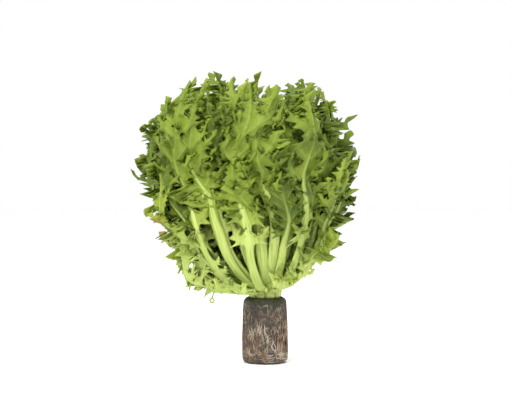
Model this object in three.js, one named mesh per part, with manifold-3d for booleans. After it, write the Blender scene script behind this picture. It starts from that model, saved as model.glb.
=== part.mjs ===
// A curly endive head, sold growing: a rosette of deeply cut, ruffled leaves on a short
// crown, which stands in the root plug that it grew in.
// Millimetres, +Z up. The origin is the centre of the plug's flat foot.

import * as THREE from "three";
import { mergeVertices } from "three/addons/utils/BufferGeometryUtils.js";
import Module from "manifold-3d";

const wasm = await Module();
wasm.setup();

// The root plug.
const PLUG_HEIGHT = 69;
const PLUG_FOOT_RADIUS = 20.5;
const PLUG_BELLY_RADIUS = 23.2;
const PLUG_SHOULDER_RADIUS = 21.8;
const PLUG_SIDES = 36;
const SOCKET_RADIUS = 9.4;
const SOCKET_DEPTH = 12;
const ROOT_RIDGES = 9;
const ROOT_RIDGE_HEIGHT = 1.3;
const ROOT_RIDGE_HALF_ANGLE = 0.13;

// The crown, and the gap that touching pieces keep.
const GAP = 0.3;
const CROWN_RADIUS = 16;
const CROWN_HEIGHT = 30;

// The rosette as a whole: it leans to one side and is a little flat from front to back.
const LEAN = THREE.MathUtils.degToRad(7.5);
const LEAN_PIVOT = PLUG_HEIGHT + 10;
const DEPTH_SHARE = 0.82;

// The waver: smooth swings that every leaf shares, so that neighbours bend together and stay apart.
const WAVER_START = PLUG_HEIGHT + 25;
const WAVER_FULL = PLUG_HEIGHT + 130;
const WAVER_SIDE = 5.5;
const WAVER_DEPTH = 6;
const WAVER_TURN = 0.13;

// Leaves.
const BEND_LENGTH = 85;
const BLADE_THICKNESS = 0.8;
const RIB_THICKNESS = 3.2;
const CLASP_RADIUS = 7;
const END_SHARE = 1.06;
const SLOT_MARGIN = THREE.MathUtils.degToRad(4);
const LOW_SIDE_SHARE = 0.2;
const SIDE_SHARE = 0.05;
const TALL_LEAF = "leaf_fourth_1";
const TALL_SHARE = 1.1;

// Whorls from the lowest, oldest leaves to the heart. start and rise are a leaf's angles from
// the upright at its root and further up, root its radius and height on the crown, reach
// its half width, lobes the number of lobes on a side and sway how far the whorl twists.
const WHORLS = [
  { name: "low", count: 7, first: 186, root: [13, 6], start: 87, rise: 56, length: 76, reach: 20, lobes: 4, ruffle: 3, sway: 0 },
  { name: "outer", count: 9, first: 262, root: [13, 9], start: 87, rise: -4, length: 234, reach: 34, lobes: 6, ruffle: 5.5, sway: 0.18 },
  { name: "second", count: 8, first: 286, root: [11, 13], start: 74, rise: -2, length: 238, reach: 34, lobes: 6, ruffle: 5.5, sway: -0.22 },
  { name: "third", count: 8, first: 262, root: [8.5, 17], start: 59, rise: -1, length: 226, reach: 32, lobes: 6, ruffle: 5.5, sway: 0.25 },
  { name: "fourth", count: 7, first: 292, root: [6.5, 21], start: 44, rise: 0, length: 208, reach: 28, lobes: 6, ruffle: 5.5, sway: -0.3 },
  { name: "inner", count: 5, first: 250, root: [4, 25], start: 29, rise: 1, length: 194, reach: 24, lobes: 5, ruffle: 5, sway: 0.34 },
  { name: "heart", count: 3, first: 300, root: [2, 28], start: 14, rise: 1, length: 180, reach: 18, lobes: 5, ruffle: 4.5, sway: -0.34 },
];

// Draw number `draw` of leaf number `leaf`, from low to high, the same on every run.
function chance(leaf, draw, low, high) {
  const wave = Math.sin(leaf * 127.1 + draw * 311.7) * 43758.5453;
  return low + (high - low) * (wave - Math.floor(wave));
}

// One leaf's own values, from its whorl and its draws.
function leafOf(whorl, place, number) {
  const spacing = (2 * Math.PI) / whorl.count;
  const azimuth = THREE.MathUtils.degToRad(whorl.first) + place * spacing;
  const favoured = 1 - (whorl.name === "low" ? LOW_SIDE_SHARE : SIDE_SHARE) * Math.cos(azimuth);
  const name = `leaf_${whorl.name}_${place + 1}`;
  const tall = name === TALL_LEAF ? TALL_SHARE : 1;
  return {
    ...whorl,
    number,
    name,
    length: whorl.length * favoured * tall * chance(number, 1, 0.92, 1.03),
    start: THREE.MathUtils.degToRad(whorl.start + chance(number, 2, -2, 2)),
    rise: THREE.MathUtils.degToRad(whorl.rise),
    azimuth: azimuth + chance(number, 3, -0.045, 0.045),
    sway: whorl.sway + chance(number, 4, -0.02, 0.02),
    nod: chance(number, 5, -2, 2),
    slot: spacing / 2 - SLOT_MARGIN,
    waves: chance(number, 6, 2.8, 4),
    phase: chance(number, 7, 0, 2 * Math.PI),
  };
}

// Where the leaf's rib is at the length s from its root: radius, height and angle from the upright.
function spine(leaf, s) {
  const steps = 24;
  const step = s / steps;
  let [radius, height] = leaf.root;
  height += PLUG_HEIGHT;
  for (let i = 0; i < steps; i++) {
    const angle = spineAngle(leaf, (i + 0.5) * step);
    radius += Math.sin(angle) * step;
    height += Math.cos(angle) * step;
  }
  const tip = (s / leaf.length) ** 3;
  return { radius: radius + leaf.nod * tip, height, angle: spineAngle(leaf, s) };
}

function spineAngle(leaf, s) {
  return leaf.rise + (leaf.start - leaf.rise) * Math.exp(-s / BEND_LENGTH);
}

// A point of the flat leaf, s along the rib and w to its side, on the standing leaf.
function place(leaf, s, w) {
  const { radius, height, angle } = spine(leaf, s);
  const along = s / leaf.length;
  const out = Math.min(1, Math.abs(w) / leaf.reach);
  const side = w > 0 ? 0 : 2.2;
  const grown = THREE.MathUtils.smoothstep(along, 0.15, 0.6);
  const lift = leaf.ruffle * grown * out ** 1.4 * Math.sin(leaf.phase + side + 2 * Math.PI * leaf.waves * along);
  const turn = leaf.azimuth + leaf.sway * along ** 2 + w / Math.max(radius, CLASP_RADIUS);
  const r = radius - lift * Math.cos(angle);
  return leaned(...wavered(r, turn, height + lift * Math.sin(angle)));
}

// A point at a radius, an azimuth and a height, swung to the side by the waver.
function wavered(r, azimuth, z) {
  const grown = THREE.MathUtils.smoothstep(z, WAVER_START, WAVER_FULL);
  const turn = azimuth + WAVER_TURN * grown * Math.sin(r / 21 + z / 34);
  const x = r * Math.cos(turn);
  const y = r * Math.sin(turn) * DEPTH_SHARE;
  const side = WAVER_SIDE * grown * Math.sin(z / 23 + y / 31 + 0.6);
  const depth = WAVER_DEPTH * grown * Math.sin(z / 27 + x / 29 + 2.3);
  return [x + side, y + depth, z];
}

// A point of the upright rosette on the leaning one.
function leaned(x, y, height) {
  const z = height - LEAN_PIVOT;
  return new THREE.Vector3(
    x * Math.cos(LEAN) - z * Math.sin(LEAN),
    y,
    x * Math.sin(LEAN) + z * Math.cos(LEAN) + LEAN_PIVOT,
  );
}

// How far the lobes reach to the side at s, kept inside the leaf's own share of its whorl.
function reachAt(leaf, s) {
  const along = s / leaf.length;
  const swell = 0.2 + 0.8 * THREE.MathUtils.smoothstep(along, 0.15, 0.68);
  const taper = 1 - 0.3 * THREE.MathUtils.smoothstep(along, 0.85, 1);
  return Math.min(leaf.reach * swell * taper, leaf.slot * Math.max(spine(leaf, s).radius, CLASP_RADIUS));
}

// The half width of the bare stalk at s.
function stalkHalf(leaf, s) {
  const along = s / leaf.length;
  const clasp = 1.2 * Math.exp(-(((along - 0.04) / 0.06) ** 2));
  return Math.min((4 + clasp) * (leaf.reach / 30) ** 0.35, leaf.slot * spine(leaf, s).radius);
}

// The flat leaf as points [s, w, thickness] and triangles: a bare stalk, then on each side of the rib
// a row of forward pointing lobes with a tooth on the lower edge and a bay between each two, and a
// pointed end lobe.
function flatLeaf(leaf) {
  const points = [];
  const faces = [];
  const rim = { left: [], right: [] };
  const add = (s, w, thickness) => points.push([s, w, thickness]) - 1;
  const stalkStations = [0, 0.08, 0.17, 0.27].map((share) => share * leaf.length);
  const bladeStart = 0.32 * leaf.length;
  const pitch = (0.93 * leaf.length - bladeStart) / leaf.lobes;
  const stations = [...stalkStations];
  for (let i = 0; i <= leaf.lobes; i++) stations.push(bladeStart + i * pitch);
  const ribThickness = (s) => RIB_THICKNESS - (RIB_THICKNESS - 1.2) * (s / leaf.length) ** 0.8;
  const middle = stations.map((s) => add(s, 0, ribThickness(s)));

  for (const [side, sign] of [["left", 1], ["right", -1]]) {
    const face = (a, b, c) => faces.push(sign > 0 ? [a, b, c] : [a, c, b]);
    const edge = stations.map((s, i) => {
      const bare = i < stalkStations.length;
      const half = bare ? stalkHalf(leaf, s) : Math.max(stalkHalf(leaf, s) * 0.8, 0.2 * reachAt(leaf, s));
      return add(s + (bare ? 0 : 0.25 * pitch), sign * half, bare ? 1.6 : BLADE_THICKNESS);
    });
    rim[side].push(edge[0]);
    for (let i = 0; i + 1 < stations.length; i++) {
      if (i < stalkStations.length) {
        face(middle[i], middle[i + 1], edge[i + 1]);
        face(middle[i], edge[i + 1], edge[i]);
      } else {
        const draw = 20 + 6 * i + (sign > 0 ? 0 : 3);
        const [s0, w0] = points[edge[i]];
        const size = chance(leaf.number, draw, 0.66, 1);
        const sweep = pitch * chance(leaf.number, draw + 1, 0.45, 0.9);
        const tipS = s0 + 0.35 * pitch + sweep;
        const rise = size * reachAt(leaf, tipS) - Math.abs(w0);
        const out = (share) => w0 + sign * share * Math.max(rise, 2);
        const tooth = add(s0 + 0.12 * pitch + 0.35 * sweep, out(0.62), BLADE_THICKNESS);
        const notch = add(s0 + 0.32 * pitch + 0.42 * sweep, out(0.5), BLADE_THICKNESS);
        const tip = add(tipS, out(1), BLADE_THICKNESS);
        const bay = add(s0 + 0.68 * pitch, out(0.08), BLADE_THICKNESS);
        face(middle[i], bay, edge[i]);
        face(middle[i], middle[i + 1], bay);
        face(middle[i + 1], edge[i + 1], bay);
        face(bay, tip, notch);
        face(bay, notch, tooth);
        face(bay, tooth, edge[i]);
        rim[side].push(tooth, notch, tip, bay);
      }
      rim[side].push(edge[i + 1]);
    }
    const last = edge[edge.length - 1];
    const lastS = points[last][0];
    const tooth = add(lastS + 0.4 * pitch, sign * 0.34 * leaf.reach, BLADE_THICKNESS);
    face(middle[middle.length - 1], tooth, last);
    rim[side].push(tooth);
  }
  const end = add(leaf.length * END_SHARE, 0, BLADE_THICKNESS);
  const neck = middle[middle.length - 1];
  faces.push([neck, end, rim.left[rim.left.length - 1]]);
  faces.push([neck, rim.right[rim.right.length - 1], end]);
  const loop = [middle[0], ...rim.right, end, ...rim.left.reverse()];
  return { points, faces, loop };
}

// A closed solid from the flat leaf: both faces share one set of triangles, and a strip joins their rims.
function leafSolid(leaf) {
  const { points, faces, loop } = flatLeaf(leaf);
  const middle = points.map(([s, w]) => place(leaf, s, w));
  const normals = middle.map(() => new THREE.Vector3());
  for (const [a, b, c] of faces) {
    const normal = middle[b].clone().sub(middle[a]).cross(middle[c].clone().sub(middle[a]));
    for (const corner of [a, b, c]) normals[corner].add(normal);
  }
  const positions = [];
  for (const side of [0.5, -0.5])
    middle.forEach((point, i) => {
      const offset = normals[i].clone().normalize().multiplyScalar(side * points[i][2]);
      positions.push(...point.clone().add(offset).toArray());
    });
  const under = points.length;
  const index = [];
  for (const [a, b, c] of faces) index.push(a, b, c, under + a, under + c, under + b);
  loop.forEach((a, i) => {
    const b = loop[(i + 1) % loop.length];
    index.push(a, under + a, b, b, under + a, under + b);
  });
  return solidFrom(positions, index);
}

function solidFrom(positions, index) {
  return new wasm.Manifold(
    new wasm.Mesh({
      numProp: 3,
      vertProperties: new Float32Array(positions),
      triVerts: new Uint32Array(index),
    }),
  );
}

function solidOfGeometry(geometry) {
  geometry.deleteAttribute("normal");
  geometry.deleteAttribute("uv");
  const merged = mergeVertices(geometry, 1e-3);
  return solidFrom(merged.attributes.position.array, merged.index.array);
}

function geometryOf(solid) {
  const mesh = solid.getMesh();
  const geometry = new THREE.BufferGeometry();
  geometry.setAttribute("position", new THREE.BufferAttribute(mesh.vertProperties, 3));
  geometry.setIndex(new THREE.BufferAttribute(mesh.triVerts, 1));
  geometry.computeVertexNormals();
  return geometry;
}

// The crown: a stub that stands in the plug's socket, under a cone that the leaves grow from.
function crownGeometry(grown) {
  const stub = SOCKET_RADIUS - GAP;
  const foot = PLUG_HEIGHT - SOCKET_DEPTH + GAP;
  const profile = [
    [0, foot - grown],
    [stub + grown, foot - grown],
    [stub + grown, PLUG_HEIGHT + GAP],
    [CROWN_RADIUS - 2 + grown, PLUG_HEIGHT + GAP - grown / 2],
    [CROWN_RADIUS + grown, PLUG_HEIGHT + 4],
    [CROWN_RADIUS - 1 + grown, PLUG_HEIGHT + 11 + grown],
    [CROWN_RADIUS * 0.55 + grown, PLUG_HEIGHT + 22 + grown],
    [CROWN_RADIUS * 0.3 + grown, PLUG_HEIGHT + CROWN_HEIGHT + grown],
    [0, PLUG_HEIGHT + CROWN_HEIGHT + 2 + grown],
  ];
  return new THREE.LatheGeometry(profile.map(([r, z]) => new THREE.Vector2(r, z)), 14).rotateX(Math.PI / 2);
}

// How far the root ridges lift the plug's side at an angle and a height: each ridge wanders as it runs down.
function ridgeLift(angle, z) {
  let lift = 0;
  for (let i = 0; i < ROOT_RIDGES; i++) {
    const own = (2 * Math.PI * (i + chance(i, 90, -0.25, 0.25))) / ROOT_RIDGES;
    const path = own + 0.16 * Math.sin(z / 11 + i * 2.1);
    const away = Math.atan2(Math.sin(angle - path), Math.cos(angle - path));
    lift = Math.max(lift, Math.exp(-((away / ROOT_RIDGE_HALF_ANGLE) ** 2)));
  }
  return ROOT_RIDGE_HEIGHT * lift;
}

// The plug: a short, slightly barrelled cylinder of growing mix, with roots raised on its side
// and a plain socket for the crown's stub.
function plugGeometry() {
  const side = (share) => PLUG_BELLY_RADIUS + (PLUG_SHOULDER_RADIUS - PLUG_BELLY_RADIUS) * share;
  const profile = [
    [0, 0],
    [PLUG_FOOT_RADIUS, 0],
    [PLUG_BELLY_RADIUS - 0.8, 3.5],
    [PLUG_BELLY_RADIUS, 9],
    [side(0.15), 19],
    [side(0.35), 29],
    [side(0.55), 39],
    [side(0.75), 49],
    [side(0.95), 59],
    [PLUG_SHOULDER_RADIUS - 0.4, 65.5],
    [PLUG_SHOULDER_RADIUS - 2.8, PLUG_HEIGHT],
    [SOCKET_RADIUS, PLUG_HEIGHT],
    [SOCKET_RADIUS, PLUG_HEIGHT - SOCKET_DEPTH],
    [0, PLUG_HEIGHT - SOCKET_DEPTH],
  ];
  const outline = profile.map(([r, z]) => new THREE.Vector2(r, z));
  const geometry = new THREE.LatheGeometry(outline, PLUG_SIDES).rotateX(Math.PI / 2);
  const position = geometry.attributes.position;
  for (let i = 0; i < position.count; i++) {
    const [x, y, z] = [position.getX(i), position.getY(i), position.getZ(i)];
    const radius = Math.hypot(x, y);
    if (radius < PLUG_SHOULDER_RADIUS - 1 || z < 1) continue;
    const grown = 1 + ridgeLift(Math.atan2(y, x), z) / radius;
    position.setXY(i, x * grown, y * grown);
  }
  return geometry;
}

const finishes = {
  leaf: new THREE.MeshStandardMaterial({ color: 0x7f9a3a, roughness: 0.5, metalness: 0, side: THREE.DoubleSide }),
  crown: new THREE.MeshStandardMaterial({ color: 0xc3cc86, roughness: 0.55, metalness: 0 }),
  plug: new THREE.MeshStandardMaterial({ color: 0x6c5f50, roughness: 0.95, metalness: 0 }),
};

function part(name, geometry, finish) {
  const mesh = new THREE.Mesh(geometry, finish);
  mesh.name = name;
  return mesh;
}

const head = new THREE.Group();
head.add(part("root_plug", geometryOf(solidOfGeometry(plugGeometry())), finishes.plug));
head.add(part("crown", geometryOf(solidOfGeometry(crownGeometry(0))), finishes.crown));

const crownRoom = solidOfGeometry(crownGeometry(GAP));
let number = 0;
for (const whorl of WHORLS)
  for (let i = 0; i < whorl.count; i++) {
    const leaf = leafOf(whorl, i, number++);
    const solid = leafSolid(leaf).subtract(crownRoom);
    head.add(part(leaf.name, geometryOf(solid), finishes.leaf));
  }

export default head;
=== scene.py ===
# %% [markdown]
# A curly endive head, sold growing, stands upright on the foot of its root plug. The construction
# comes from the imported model: it gives the place of every leaf, the crown and the plug. This script
# dresses each of them with a finer piece that keeps its form, and adds the light and the camera.

# %% The frame
import math

import bpy
import numpy as np
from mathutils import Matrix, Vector
from mathutils.geometry import delaunay_2d_cdt


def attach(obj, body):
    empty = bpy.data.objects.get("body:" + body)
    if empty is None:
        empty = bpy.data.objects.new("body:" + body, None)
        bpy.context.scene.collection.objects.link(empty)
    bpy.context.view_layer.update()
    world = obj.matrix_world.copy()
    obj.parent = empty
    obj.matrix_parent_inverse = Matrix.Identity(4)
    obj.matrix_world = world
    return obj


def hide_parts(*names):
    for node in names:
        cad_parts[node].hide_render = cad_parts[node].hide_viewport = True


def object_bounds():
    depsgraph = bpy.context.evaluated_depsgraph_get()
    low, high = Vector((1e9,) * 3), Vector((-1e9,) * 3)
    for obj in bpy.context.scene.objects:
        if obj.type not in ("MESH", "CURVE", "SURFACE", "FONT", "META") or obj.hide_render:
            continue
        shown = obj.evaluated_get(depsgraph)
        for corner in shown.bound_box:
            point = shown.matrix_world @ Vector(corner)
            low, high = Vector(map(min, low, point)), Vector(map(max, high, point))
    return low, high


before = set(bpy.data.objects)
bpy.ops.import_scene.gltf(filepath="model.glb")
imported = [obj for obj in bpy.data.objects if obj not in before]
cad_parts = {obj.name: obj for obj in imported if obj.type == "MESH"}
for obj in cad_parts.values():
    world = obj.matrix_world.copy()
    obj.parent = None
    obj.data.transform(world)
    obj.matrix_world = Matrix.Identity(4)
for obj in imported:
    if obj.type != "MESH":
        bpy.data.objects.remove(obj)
CAD_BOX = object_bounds()
MM = 0.001
print("frame:", len(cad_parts), "nodes in the box", [tuple(round(v, 3) for v in c) for c in CAD_BOX])

# %% [markdown]
# The camera looks almost level at the head from the front, as in the photograph, so one scale holds for
# the whole picture: the pixel where the crown meets the plug and the size of a pixel fix its place. A
# long lens from a good way off keeps the leaves at the front from looking too large.

# %% Camera
PHOTO_WIDTH = 512
PHOTO_HEIGHT = 400
PIXEL = 1.05 * MM
CROWN_PIXEL = (265, 297)
CROWN_FOOT_HEIGHT = 69 * MM
CAMERA_DISTANCE = 1.6
CAMERA_ELEVATION = math.radians(2)
SENSOR_WIDTH = 36

aim = Vector((
    (PHOTO_WIDTH / 2 - CROWN_PIXEL[0]) * PIXEL,
    0,
    CROWN_FOOT_HEIGHT + (CROWN_PIXEL[1] - PHOTO_HEIGHT / 2) * PIXEL,
))
away = Vector((0, -math.cos(CAMERA_ELEVATION), math.sin(CAMERA_ELEVATION)))
bpy.ops.object.camera_add(
    location=aim + away * CAMERA_DISTANCE,
    rotation=(math.pi / 2 - CAMERA_ELEVATION, 0, 0),
)
camera = bpy.context.object
camera.data.sensor_width = SENSOR_WIDTH
camera.data.lens = SENSOR_WIDTH * CAMERA_DISTANCE / (PHOTO_WIDTH * PIXEL)
camera.data.clip_start = 0.05
bpy.context.scene.camera = camera
print("camera:", round(camera.data.lens, 1), "mm lens, aimed at", tuple(round(v, 3) for v in aim))

# %% [markdown]
# The floor is a plain pale sweep, and the light is the soft, even light of a product picture: a white
# surround, one large lamp above and in front to the left, a weaker one at the right, and one behind
# that shines through the thin blades.

# %% Floor and light
FLOOR_SIZE = 8
FLOOR_GREY = 0.97
FLOOR_ROUGHNESS = 0.9
SURROUND_STRENGTH = 1.0
# Each lamp: its name, its place in metres, its size in metres and its power in watts.
LAMPS = [
    ("key_light", (-0.7, -1.2, 1.4), 0.7, 30),
    ("fill_light", (1.3, -1.0, 0.7), 1.2, 3),
    ("back_light", (0.3, 1.2, 1.3), 1.0, 12),
]

bpy.ops.mesh.primitive_plane_add(size=FLOOR_SIZE)
floor = bpy.context.object
floor.name = "floor"
floor_finish = bpy.data.materials.new("floor_white")
floor_finish.use_nodes = True
floor_shader = floor_finish.node_tree.nodes["Principled BSDF"]
floor_shader.inputs["Base Color"].default_value = (FLOOR_GREY, FLOOR_GREY, FLOOR_GREY, 1)
floor_shader.inputs["Roughness"].default_value = FLOOR_ROUGHNESS
floor.data.materials.append(floor_finish)

surround = bpy.data.worlds.new("surround")
surround.use_nodes = True
surround.node_tree.nodes["Background"].inputs["Color"].default_value = (1, 1, 1, 1)
surround.node_tree.nodes["Background"].inputs["Strength"].default_value = SURROUND_STRENGTH
bpy.context.scene.world = surround
bpy.context.scene.view_settings.view_transform = "Standard"

for name, place, size, power in LAMPS:
    bpy.ops.object.light_add(type="AREA", location=place)
    lamp = bpy.context.object
    lamp.name = name
    lamp.data.size = size
    lamp.data.energy = power
    lamp.rotation_euler = (aim - lamp.location).to_track_quat("-Z", "Y").to_euler()
print("light:", len(LAMPS), "lamps and a white surround")

# %% [markdown]
# Every leaf follows the same rules as its solid in the construction, so most of the numbers below are
# the construction's own, in millimetres. A whorl is a ring of leaves of about one age. Its leaves set
# out from the crown at the angle start from the upright and bend up to the angle rise.

# %% The rosette's numbers
PLUG_HEIGHT = 69
LEAN = math.radians(7.5)
LEAN_PIVOT = PLUG_HEIGHT + 10
DEPTH_SHARE = 0.82
WAVER_START = PLUG_HEIGHT + 25
WAVER_FULL = PLUG_HEIGHT + 130
WAVER_SIDE = 5.5
WAVER_DEPTH = 6
WAVER_TURN = 0.13
BEND_LENGTH = 85
CLASP_RADIUS = 7
END_SHARE = 1.06
SLOT_MARGIN = math.radians(4)
LOW_SIDE_SHARE = 0.2
SIDE_SHARE = 0.05
TALL_LEAF = "leaf_fourth_1"
TALL_SHARE = 1.1
BLADE_START = 0.32
FRONT = math.radians(270)
LOW_WHORLS = ("low", "apron", "skirt")
# Within this angle of the front the tall whorls' stalks are smooth. All others carry small lobes.
PLAIN_STALKS = math.radians(44)
# The small lobes on each side of a stalk: more on a long leaf.
LONG_LEAF = 150
LONG_LEAF_FRILLS = 3
SHORT_LEAF_FRILLS = 2
WHORL_KEYS = (
    "name", "count", "first", "root", "start", "rise", "length", "reach", "lobes", "ruffle", "sway",
)
WHORLS = [
    ("low", 7, 186, (13, 6), 87, 56, 76, 20, 4, 3, 0),
    ("outer", 9, 262, (13, 9), 87, -4, 234, 34, 6, 5.5, 0.18),
    ("second", 8, 286, (11, 13), 74, -2, 238, 34, 6, 5.5, -0.22),
    ("third", 8, 262, (8.5, 17), 59, -1, 226, 32, 6, 5.5, 0.25),
    ("fourth", 7, 292, (6.5, 21), 44, 0, 208, 28, 6, 5.5, -0.3),
    ("inner", 5, 250, (4, 25), 29, 1, 194, 24, 5, 5, 0.34),
    ("heart", 3, 300, (2, 28), 14, 1, 180, 18, 5, 4.5, -0.34),
]


def chance(leaf, draw, low, high):
    """Draw number `draw` of leaf number `leaf`, from low to high, the same on every run."""
    wave = math.sin(leaf * 127.1 + draw * 311.7) * 43758.5453
    return low + (high - low) * (wave - math.floor(wave))


def smooth(x, low, high):
    """0 below low, 1 above high, and a smooth rise between them."""
    t = np.clip((np.asarray(x, float) - low) / (high - low), 0, 1)
    return t * t * (3 - 2 * t)


def leaf_of(whorl, place, number):
    """One leaf's own values, from its whorl and its draws."""
    spacing = 2 * math.pi / whorl["count"]
    azimuth = math.radians(whorl["first"]) + place * spacing
    favoured = 1 - (LOW_SIDE_SHARE if whorl["name"] == "low" else SIDE_SHARE) * math.cos(azimuth)
    name = f"leaf_{whorl['name']}_{place + 1}"
    tall = TALL_SHARE if name == TALL_LEAF else 1
    from_front = abs(math.remainder(azimuth - FRONT, 2 * math.pi))
    plain = from_front < PLAIN_STALKS and whorl["name"] not in LOW_WHORLS
    frills = LONG_LEAF_FRILLS if whorl["length"] > LONG_LEAF else SHORT_LEAF_FRILLS
    return {
        **whorl,
        "whorl": whorl["name"],
        "number": number,
        "name": name,
        "length": whorl["length"] * favoured * tall * chance(number, 1, 0.92, 1.03),
        "start": math.radians(whorl["start"] + chance(number, 2, -2, 2)),
        "rise": math.radians(whorl["rise"]),
        "azimuth": azimuth + chance(number, 3, -0.045, 0.045),
        "sway": whorl["sway"] + chance(number, 4, -0.02, 0.02),
        "nod": chance(number, 5, -2, 2),
        "slot": spacing / 2 - SLOT_MARGIN,
        "waves": chance(number, 6, 2.8, 4),
        "phase": chance(number, 7, 0, 2 * math.pi),
        "cup": chance(number, 8, -1, 1),
        "bare": BLADE_START,
        "from_front": from_front,
        "frills": 0 if plain else frills,
        "give": chance(number, 13, -7, 4),
    }


LEAVES = []
for values in WHORLS:
    ring = dict(zip(WHORL_KEYS, values))
    for place in range(ring["count"]):
        LEAVES.append(leaf_of(ring, place, len(LEAVES)))
print("rosette:", len(LEAVES), "leaves in", len(WHORLS), "whorls")

# %% [markdown]
# A full head has more leaves than the construction's solids, which have to stay clear of each other.
# The others stand in the gaps: each of these whorls lies between two of the construction's and is
# turned against them, and the apron and the skirt hold the short leaves low on the sides.

# %% The leaves between
BETWEEN = [
    ("apron", 9, 199, (13, 7), 89, 40, 122, 25, 5, 4, 0),
    ("skirt", 9, 282, (13, 8), 86, 4, 168, 27, 5, 5, 0.1),
    ("outer_between", 9, 281, (12, 11), 81, -3, 220, 34, 6, 6, 0.0),
    ("outer_third", 9, 291, (12, 9), 85, -2, 198, 32, 6, 6, 0.1),
    ("short", 9, 271, (12, 12), 79, 1, 178, 32, 5, 6, -0.1),
    ("second_third", 8, 257, (11, 14), 71, -2, 206, 32, 6, 6, -0.1),
    ("second_between", 8, 273, (10, 15), 67, -2, 230, 33, 6, 6, 0.02),
    ("third_between", 8, 250, (7.5, 19), 52, -1, 222, 31, 6, 6, -0.02),
    ("fourth_between", 7, 268, (5, 23), 37, 0, 212, 28, 6, 6, 0.04),
    ("inner_between", 6, 282, (3, 26), 22, 0, 206, 25, 5, 6, 0.1),
    ("heart_between", 4, 258, (1.5, 29), 9, 0, 196, 22, 5, 6, -0.1),
]
SKIRT_GAP = math.radians(38)
BARE_BETWEEN = (0.3, 0.54)
# In front the stalks stay bare longer, and between these angles no short leaf hides the long pale ribs.
BARE_IN_FRONT = (0.5, 0.62)
RIBS_SHOWN = (math.radians(228), math.radians(262))
SHORT_WHORLS = ("outer_third", "short")
# These close the head at the middle of its top, and the first is the narrow tip above it.
TALLER = {
    "leaf_heart_between_2": 1.17,
    "leaf_outer_between_1": 1.07,
    "leaf_second_third_2": 1.07,
    "leaf_inner_between_2": 1.1,
    "leaf_third_between_2": 1.12,
}

LEAVES_BETWEEN = []
for values in BETWEEN:
    ring = dict(zip(WHORL_KEYS, values))
    for place in range(ring["count"]):
        leaf = leaf_of(ring, place, len(LEAVES) + len(LEAVES_BETWEEN))
        shown = RIBS_SHOWN[0] < leaf["azimuth"] % (2 * math.pi) < RIBS_SHOWN[1]
        bare = BARE_IN_FRONT if leaf["from_front"] < PLAIN_STALKS else BARE_BETWEEN
        if ring["name"] not in LOW_WHORLS:
            leaf["bare"] = chance(leaf["number"], 15, *bare)
            leaf["length"] *= chance(leaf["number"], 14, 0.84, 1.04) * TALLER.get(leaf["name"], 1)
        elif leaf["from_front"] < SKIRT_GAP:
            continue
        if shown and ring["name"] in SHORT_WHORLS:
            continue
        LEAVES_BETWEEN.append(leaf)
print("rosette:", len(LEAVES_BETWEEN), "leaves between")

# %% [markdown]
# A leaf is drawn flat first, as a botanist presses it: s runs along the rib and w to the side. Then
# each point is carried onto the standing leaf. The rib bends up, the blade wraps round the head, the
# edge is ruffled, and one smooth waver that all the leaves share keeps neighbours apart. A leaf whose
# rib would stand out past the head's outline is eased back to it as a whole, so its lobes still jut out.

# %% From the flat leaf to the standing leaf
SPINE_STEPS = 24
CLASP_HALF = 8
CLASP_LENGTH = 38
FINE_RUFFLE = 0.3
RUFFLE_SHARPNESS = 1.4
RIGHT_SIDE_PHASE = 2.2
BUCKLE = 6
CUP = 13
# The shares of the leaf's length between which each of these grows to its full size.
RUFFLE_GROWS = (0.15, 0.6)
BUCKLE_GROWS = (0.35, 0.7)
CUP_GROWS = (0.3, 0.7)
# The shared waver's wave lengths, over 2 pi, and the phase of its swings.
TURN_WAVE = (21, 34)
SIDE_WAVE = (23, 31, 0.6)
DEPTH_WAVE = (27, 29, 2.3)
EASE = 16
BOX_EASE = 7
BOX_PAST = 0.02
# The head's outline from the front: each line's outward direction, x and z, and how far out it lies.
EASE_LINES = [
    ((-0.774, 0.633), 247),
    ((0.500, 0.866), 279),
    ((0.954, 0.300), 149),
    ((0.848, -0.530), -11),
    ((-0.877, -0.480), 32),
    ((-0.977, -0.211), 74),
    ((-1, 0), 121),
    ((1, 0), 86),
]
EASE_DEPTH = 84


def spine_angle(leaf, s):
    """The rib's angle from the upright at the length s."""
    return leaf["rise"] + (leaf["start"] - leaf["rise"]) * np.exp(-s / BEND_LENGTH)


def spine(leaf, s):
    """The rib's radius, height and angle at each length in s."""
    s = np.asarray(s, float)
    middles = (np.arange(SPINE_STEPS) + 0.5) / SPINE_STEPS * s[..., None]
    angles = spine_angle(leaf, middles)
    radius = leaf["root"][0] + np.sin(angles).mean(-1) * s
    height = leaf["root"][1] + PLUG_HEIGHT + np.cos(angles).mean(-1) * s
    return radius + leaf["nod"] * (s / leaf["length"]) ** 3, height, spine_angle(leaf, s)


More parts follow.
